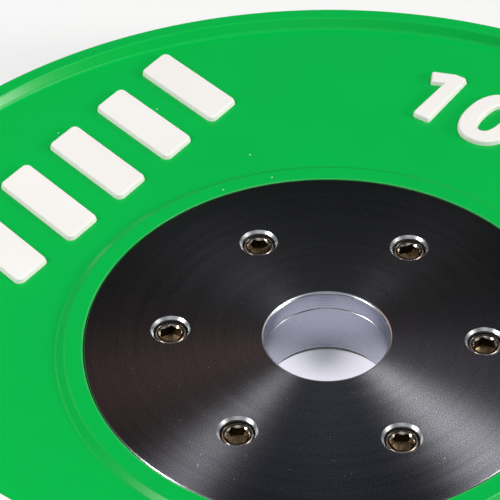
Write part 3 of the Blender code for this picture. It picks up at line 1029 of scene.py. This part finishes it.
@dataclass(frozen=True)
class RaisedMarks:
    """White rubber marks moulded on to the web: plain numerals and plain slanted bars."""

    ring: RubberRing
    rise: float = 2.2 * MM
    sink: float = 0.05 * MM
    draft: float = 0.35 * MM
    edge_round: float = 0.9 * MM
    edge_steps: int = 6
    edge_support: float = 0.15 * MM
    numeral_height: float = 37.5 * MM
    stroke: float = 9.6 * MM
    numeral_gap: float = 9.4 * MM
    corner_round: float = 1.6 * MM
    foot_round: float = 2.4 * MM
    flag_reach: float = 9.6 * MM
    tip_drop: float = 4.5 * MM
    notch_drop: float = 9.1 * MM
    flag_drop: float = 12.1 * MM
    tip_inset: float = 4.1 * MM
    one_foot_rise: float = 0.9 * MM
    eye_width: float = 8.2 * MM
    zero_cap: float = 8.6 * MM
    zero_fullness: float = 2.3
    zero_steps: int = 96
    bar_height: float = 50.5 * MM
    bar_width: float = 19.0 * MM
    bar_gap: float = 15.5 * MM
    bar_slant: float = math.radians(12.0)
    bar_round: float = 3.0 * MM
    bar_pitch: float = 33.65 * MM
    long_bars: int = 7
    short_bars: int = 2
    numeral_row_inset: float = 2.3 * MM
    bar_row_inset: float = 13.3 * MM
    numeral_angles_deg: Pair = (55.0, 235.0)
    bar_angles_deg: Pair = (145.0, 325.0)

    def one(self) -> list[np.ndarray]:
        """Outline of the numeral 1: a stem with a flag to its left.

        Returns:
            A list of one outline.
        """
        half = self.numeral_height / 2
        left = -(self.flag_reach + self.stroke) / 2
        foot, right = left + self.flag_reach, left + self.flag_reach + self.stroke
        bottom = self.one_foot_rise - half
        small, large = self.corner_round, self.foot_round
        corners = [
            (left, half - self.tip_drop, small), (foot + small, half, large), (right - small, half, large),
            (right, bottom, small), (foot, bottom, large), (foot, half - self.notch_drop, 0),
            (left + self.tip_inset, half - self.flag_drop, small)]
        return [rounded(corners)[::-1]]

    def zero(self) -> list[np.ndarray]:
        """Outlines of the numeral 0 and of its eye.

        Returns:
            The outer and the inner outline.
        """
        half, eye = self.numeral_height / 2, self.eye_width / 2
        return [superellipse(eye + self.stroke, half, self.zero_fullness, self.zero_steps),
                superellipse(eye, half - self.zero_cap, self.zero_fullness, self.zero_steps)]

    def bar(self, height: float) -> list[np.ndarray]:
        """Outline of a slanted bar.

        Args:
            height: Height of the bar.

        Returns:
            A list of one outline.
        """
        half, half_width = height / 2, self.bar_width / 2
        lean = half * math.tan(self.bar_slant)
        corners = [
            (lean - half_width, half, self.bar_round), (-half_width - lean, -half, self.bar_round),
            (half_width - lean, -half, self.bar_round), (lean + half_width, half, self.bar_round)]
        return [rounded(corners)]

    def section(self) -> np.ndarray:
        """Section through a mark's edge: a drafted side, a quarter round and a support point on the top.

        Returns:
            Array of (distance inwards, height).
        """
        arc = np.linspace(0, math.pi / 2, self.edge_steps + 1)
        edge = np.column_stack((self.draft + self.edge_round * (1 - np.cos(arc)),
                                self.rise - self.edge_round * (1 - np.sin(arc))))
        return np.concatenate((((0.0, -self.sink),), edge, ((edge[-1, 0] + self.edge_support, self.rise),)))

    def loft(self, outlines: list[np.ndarray]) -> Shell:
        """Raise outlines: each ring is the outline moved inwards by the section's distance, at its height.

        Args:
            outlines: The outer outline and, where the mark has an eye, the inner one.

        Returns:
            The mark's closed mesh, about its own middle.
        """
        shell = Shell()
        rings: list[np.ndarray] = []
        for outline, sign in zip(outlines, (1, -1)):
            grid = np.stack([np.insert(inset(outline, sign * distance), 2, height, axis=1)
                             for distance, height in self.section()], axis=1)
            shell.grid(grid)
            rings.append(grid)
        for column in (0, -1):
            if len(rings) == 2:
                shell.grid(np.stack((rings[0][:, column], rings[1][:, column]), axis=1))
            else:
                shell.flat(rings[0][:, column])
        return shell

    def place(self, shell: Shell, side: Side, mark: Mark) -> None:
        """Move a mark from its own middle on to its face.

        Args:
            shell: The mark's mesh.
            side: The face.
            mark: Where it lies.
        """
        up, right = np.exp(1j * mark.angle), np.exp(1j * (mark.angle - math.pi / 2))
        for index, points in enumerate(shell.points):
            flat = (points[:, 0] + mark.across) * right + (points[:, 1] + mark.out) * up
            shell.points[index] = np.column_stack((
                flat.real, side.value * flat.imag, self.ring.web(side) + side.value * points[:, 2]))

    def marks(self) -> Iterator[Mark]:
        """Marks of a face: each numeral row is laid out from its left end, each bar row about its middle.

        Yields:
            Each mark.
        """
        middle = (self.ring.web_inner + self.ring.web_outer) / 2
        kinds = {"one": (self.one(), self.flag_reach + self.stroke),
                 "zero": (self.zero(), self.eye_width + 2 * self.stroke),
                 "short_bar": (self.bar(self.numeral_height), self.bar_width)}
        row = [("one", 0.0), ("zero", self.numeral_gap)] + [("short_bar", self.bar_gap)] * self.short_bars
        total = sum(gap + kinds[kind][1] for kind, gap in row)
        for letter, angle in zip("ab", self.numeral_angles_deg):
            edge = -total / 2
            for index, (kind, gap) in enumerate(row):
                outlines, width = kinds[kind]
                name = f"{kind}_{letter}" + (str(index - 1) if kind == "short_bar" else "")
                yield Mark(name, outlines, math.radians(angle), edge + gap + width / 2,
                           middle - self.numeral_row_inset)
                edge += gap + width
        for letter, angle in zip("ab", self.bar_angles_deg):
            for index in range(self.long_bars):
                across = (index - (self.long_bars - 1) / 2) * self.bar_pitch
                yield Mark(f"long_bar_{letter}{index + 1}", self.bar(self.bar_height), math.radians(angle),
                           across, middle - self.bar_row_inset)

    def build(self, material: Material) -> None:
        """Make every mark of both faces.

        Args:
            material: Material of the marks.
        """
        for side in Side:
            for mark in self.marks():
                name = f"{side.name.lower()}_{mark.name}"
                shell = self.loft(mark.outlines)
                self.place(shell, side, mark)
                shell.build("moulded_" + name, [material], name, "white_rubber")


# Studio


def direction(azimuth: float, elevation: float) -> Vector:
    """Unit vector of an azimuth from +X and an elevation, both in degrees."""
    turn, rise = math.radians(azimuth), math.radians(elevation)
    return Vector((math.cos(turn) * math.cos(rise), math.sin(turn) * math.cos(rise), math.sin(rise)))


@dataclass(frozen=True)
class SoftBox:
    """Rectangular lamp aimed at the hub: where it hangs, its sides and its power in watts."""

    name: str
    azimuth: float
    elevation: float
    distance: float
    width: float
    height: float
    power: float

    def build(self, focus: Vector) -> None:
        """Hang the lamp.

        Args:
            focus: Place that it is aimed at.
        """
        lamp = bpy.data.lights.new(self.name, "AREA")
        lamp.shape = "RECTANGLE"
        lamp.size, lamp.size_y = self.width, self.height
        lamp.energy = self.power
        thing = linked(self.name, lamp)
        away = direction(self.azimuth, self.elevation)
        thing.location = focus + away * self.distance
        thing.rotation_euler = away.to_track_quat("Z", "Y").to_euler()


@dataclass(frozen=True)
class Glow:
    """Soft patch of the room's walls that sends light: where it is, how wide, its colour and strength."""

    azimuth: float
    elevation: float
    half_width: float
    colour: str
    strength: float


@dataclass(frozen=True)
class Studio:
    """Pale floor, two soft boxes, a dim room and the photograph's camera.

    The glows stand for the paler parts of the room, which show in the metal: two behind the plate, a small
    strong one low on the right, one overhead and one behind the camera.
    """

    focus: Corner = (0.0, 0.0, 0.035)
    floor_radius: float = 12.0
    floor_steps: int = 96
    floor_colour: str = "#F8F7F6"
    floor_roughness: float = 0.5
    near_glow: float = 0.25
    far_glow: float = 1.0
    glow_start: float = 0.2
    glow_end: float = 2.0
    bore_radius: float = 25.5 * MM
    thrown_colour: str = "#EBEAF6"
    thrown_least: float = 0.22
    thrown_end: float = 22.5 * MM
    gap_start: float = 27.8 * MM
    focal_pixels: float = 2184.9
    camera_azimuth: float = 270.0
    camera_elevation: float = 43.904
    distance: float = 0.8949
    hub_pixel: Pair = (326.94, 335.40)
    boxes: tuple[SoftBox, ...] = (
        SoftBox("left_soft_box", 197.0, 40.0, 1.25, 0.17, 0.75, 8.5),
        SoftBox("right_soft_box", 13.0, 54.0, 1.25, 0.38, 0.38, 6.5))
    room_colour: str = "#8F8C93"
    room_strength: float = 0.36
    glows: tuple[Glow, ...] = (
        Glow(130.0, 42.0, 18.0, "#D8B09C", 1.65),
        Glow(50.0, 42.0, 18.0, "#D0CCD4", 1.5),
        Glow(-15.0, 16.0, 9.0, "#E2E1DE", 50.0),
        Glow(270.0, 86.0, 36.0, "#B4C8E0", 0.42),
        Glow(270.0, 44.0, 26.0, "#DCDEDF", 0.8))

    def paper(self) -> Material:
        """Make the floor's material: matt paper that in part glows to the camera and in reflections.

        Outside the plate the glow grows with the distance, so the floor looks white far out too and keeps
        the plate's shadow near it. In the bore the glow is the light that its bright wall throws down:
        least at the wall's foot on the +Y and -Y sides, more with the distance from there, and none from
        the start of the gap under the hub.

        Returns:
            The material.
        """
        material = bpy.data.materials.new("pale_paper_floor")
        g = Graph(material)
        paper = g.add("BsdfDiffuse", {"Color": linear(self.floor_colour), "Roughness": self.floor_roughness})
        seen = 0.0
        for ray in ("Is Camera Ray", "Is Glossy Ray", "Is Transmission Ray"):
            seen = g.add("Math", {0: g.add("LightPath", output=ray), 1: seen}, operation="MAXIMUM")
        place = g.add("TexCoord", output="Object")
        away = g.add("VectorMath", {0: place}, "Value", operation="LENGTH")
        far = g.add("MapRange", {0: away, 1: self.glow_start, 2: self.glow_end, 3: self.near_glow,
                                 4: self.far_glow}, interpolation_type="SMOOTHSTEP")
        foot = {0: g.add("VectorMath", {0: place}, operation="ABSOLUTE"), 1: (0.0, self.bore_radius, 0.0)}
        from_foot = g.add("VectorMath", foot, "Value", operation="DISTANCE")
        thrown = g.add("MapRange", {0: from_foot, 2: self.thrown_end, 3: self.thrown_least},
                       interpolation_type="SMOOTHSTEP")
        open_floor = g.add("Math", {0: away, 1: self.gap_start}, operation="LESS_THAN")
        thrown = g.add("Math", {0: thrown, 1: open_floor}, operation="MULTIPLY")
        inside = g.add("Math", {0: away, 1: self.glow_start}, operation="LESS_THAN")
        amount = g.add("Mix", {0: inside, 2: far, 3: thrown})
        share = g.add("Math", {0: seen, 1: amount}, operation="MULTIPLY")
        tint = g.add("Mix", {0: inside, 6: linear(self.floor_colour), 7: linear(self.thrown_colour)}, 2,
                     data_type="RGBA")
        glow = g.add("Emission", {"Color": tint, "Strength": 1.0})
        g.add("OutputMaterial", {"Surface": g.add("MixShader", {0: share, 1: paper, 2: glow})})
        return material

    def floor(self) -> None:
        """Make the floor that the plate lies on, a flat disc."""
        angle = np.arange(self.floor_steps) * math.tau / self.floor_steps
        mesh = bpy.data.meshes.new("studio_floor")
        mesh.from_pydata(placed(self.floor_radius, angle, 0.0).tolist(), [], [list(range(len(angle)))])
        mesh.materials.append(self.paper())
        linked("studio_floor", mesh)

    def room(self) -> None:
        """Set the room's dim light: a base, and glows that fade with the angle from their middles."""
        world = bpy.data.worlds.new("studio_room")
        bpy.context.scene.world = world
        g = Graph(world)
        light = g.add("Background", {"Color": linear(self.room_colour), "Strength": self.room_strength})
        towards = g.add("TexCoord", output="Generated")
        for glow in self.glows:
            along = g.add("VectorMath", {0: towards, 1: direction(glow.azimuth, glow.elevation)}, "Value",
                          operation="DOT_PRODUCT")
            fade = g.add("MapRange", {0: along, 1: math.cos(math.radians(glow.half_width)), 2: 1.0,
                                      4: glow.strength}, interpolation_type="SMOOTHSTEP")
            patch = g.add("Background", {"Color": linear(glow.colour), "Strength": fade})
            light = g.add("AddShader", {0: light, 1: patch})
        backdrop = g.add("Background", {"Color": linear(self.floor_colour), "Strength": 1.0})
        seen = g.add("LightPath", output="Is Camera Ray")
        g.add("OutputWorld", {"Surface": g.add("MixShader", {0: seen, 1: light, 2: backdrop})})

    def camera(self) -> None:
        """Stand the camera where the photograph was taken.

        Its line of sight to the hub's centre has the fitted elevation, and it is then turned so that the
        centre falls on its pixel: the turn takes that pixel's direction to the line of sight.
        """
        lens = bpy.data.cameras.new("camera")
        lens.sensor_width = SENSOR_WIDTH
        lens.lens = self.focal_pixels / IMAGE_SIDE * SENSOR_WIDTH
        away = direction(self.camera_azimuth, self.camera_elevation)
        looking = away.to_track_quat("Z", "Y").to_matrix()
        across, down = (pixel - IMAGE_SIDE / 2 for pixel in self.hub_pixel)
        seen = Vector((across, -down, -self.focal_pixels)).normalized()
        swing = seen.rotation_difference(Vector((0.0, 0.0, -1.0))).to_matrix()
        place = Matrix.Translation(Vector(self.focus) + away * self.distance)
        thing = linked("camera", lens)
        thing.matrix_world = place @ (looking @ swing).to_4x4()
        bpy.context.scene.camera = thing

    def build(self) -> None:
        """Set up the studio."""
        self.floor()
        for box in self.boxes:
            box.build(Vector(self.focus))
        self.room()
        self.camera()
        bpy.context.scene.view_settings.view_transform = "Standard"


def main() -> None:
    """Build the pieces in order, then the studio."""
    logging.basicConfig(level=logging.INFO, format="%(name)s: %(message)s")
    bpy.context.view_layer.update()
    layout = Layout.read()
    drilling = Drilling()
    # Coloured rubber: an even satin skin with soft highlights on its rounds, and a pale highlight line
    # painted at the pocket's edge.
    green = MouldedRubber("moulded_green_rubber", "#00B749", "#00B548", "#BFE0C8", highlight_share=0.12)
    # White rubber, a stiffer mix: drier and more matt, so the marks look flat and chalky.
    white = MouldedRubber("moulded_white_rubber", "#F8F6F0", "#F6F3ED", "#D9D6D0", 0.5)
    # Faced and then blackened: nearly black, with fine rings and grain, and a grey fan under each lamp.
    black = TurnedSteel(
        "blackened_turned_steel", "#424145", "#5A5A5D", (0.45, 0.34), 0.84, (0.4, 0.43), 0.005,
        feed=0.88 * MM, feed_depth=0.016 * MM, band=2.8 * MM, mottle=0.5 * MM, mottle_depth=0.02 * MM,
        groove_tint=0.16, grain_tint=0.6, speck_strength=0.5, fade_start=27.0 * MM, fade_end=99.0 * MM)
    # Chamfers turned after the blackening: bare metal that draws thin bright lines round the edges.
    bare = TurnedSteel("bare_turned_steel", "#C8CACC", "#D2D4D5", (0.3, 0.3), 0.3, feed_depth=0.005 * MM,
                       mottle_depth=0.003 * MM)
    # Bored smooth: a grey mirror of the floor and of the wall opposite, with a lilac tint painted into its
    # colour as a painted reflection of the lit floor.
    bored = TurnedSteel("bored_bare_steel", "#A7A9B7", "#B1B3BF", (0.28, 0.28), 0.5)
    # Counterbored with an end mill: a pale satin without rings.
    sunk = TurnedSteel("countersunk_bare_steel", "#C8CBCD", "#D4D7D8", (0.32, 0.32), 0.0, feed_depth=0.0,
                       streak_depth=0.0)
    # The discs' outer edge, cut bare: duller, with one thin white line where its chamfer meets the light.
    cut = TurnedSteel("cut_edge_steel", "#94969A", "#A0A2A6", (0.24, 0.24), 0.2, feed_depth=0.005 * MM,
                      mottle_depth=0.002 * MM)
    # Sheet that is hidden in the rubber: a plain mid grey.
    rolled = TurnedSteel("rolled_sheet_steel", "#8E8F92", "#84868A", (0.38, 0.38), 0.3)
    # The screws' plating: a warm dark mirror of the room.
    nickel = DarkNickel("dark_nickel_plate", "#4E4236", "#6A5C4C", 0.14)
    # The socket's floor: rougher, with painted light, a pale yellowish colour that lights it up as a whole.
    painted_lit_floor = DarkNickel("light_painted_nickel_floor", "#BC9C70", "#DCC298", 0.36)
    # The socket's walls: painted shade, an almost black brown.
    painted_shade_wall = DarkNickel("shade_painted_nickel_wall", "#2C241D", "#453A2E", 0.25)
    # The head's rounded edge: a painted highlight, paler and greyer than the rest of the plating.
    painted_edge_highlight = DarkNickel("highlight_painted_nickel_edge", "#8C8278", "#A89E92", 0.24)
    # The entry cone: a painted highlight, the palest and smoothest, a bright thin ring.
    painted_cone_highlight = DarkNickel("highlight_painted_nickel_cone", "#B4AA98", "#DAD4C6", 0.2)
    ring = RubberRing(layout, drilling)
    ring.build(green.material())
    discs = HubDiscs(layout, drilling)
    disc_finishes = [finish.material() for finish in (black, bare, bored, sunk, cut)]
    discs.build_front(disc_finishes)
    discs.build_back(disc_finishes)
    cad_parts["anchor_plate"].data.materials.clear()
    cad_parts["anchor_plate"].data.materials.append(rolled.material())
    LOG.info("anchor_plate: its solid, in rolled steel")
    screw = SocketScrew()
    screw_finishes = [finish.material() for finish in (nickel, painted_lit_floor, painted_cone_highlight, painted_shade_wall, painted_edge_highlight)]
    for index in range(drilling.count):
        screw.build(index, screw_finishes)
    RaisedMarks(ring).build(white.material())
    Studio().build()


if __name__ == "__main__":
    main()
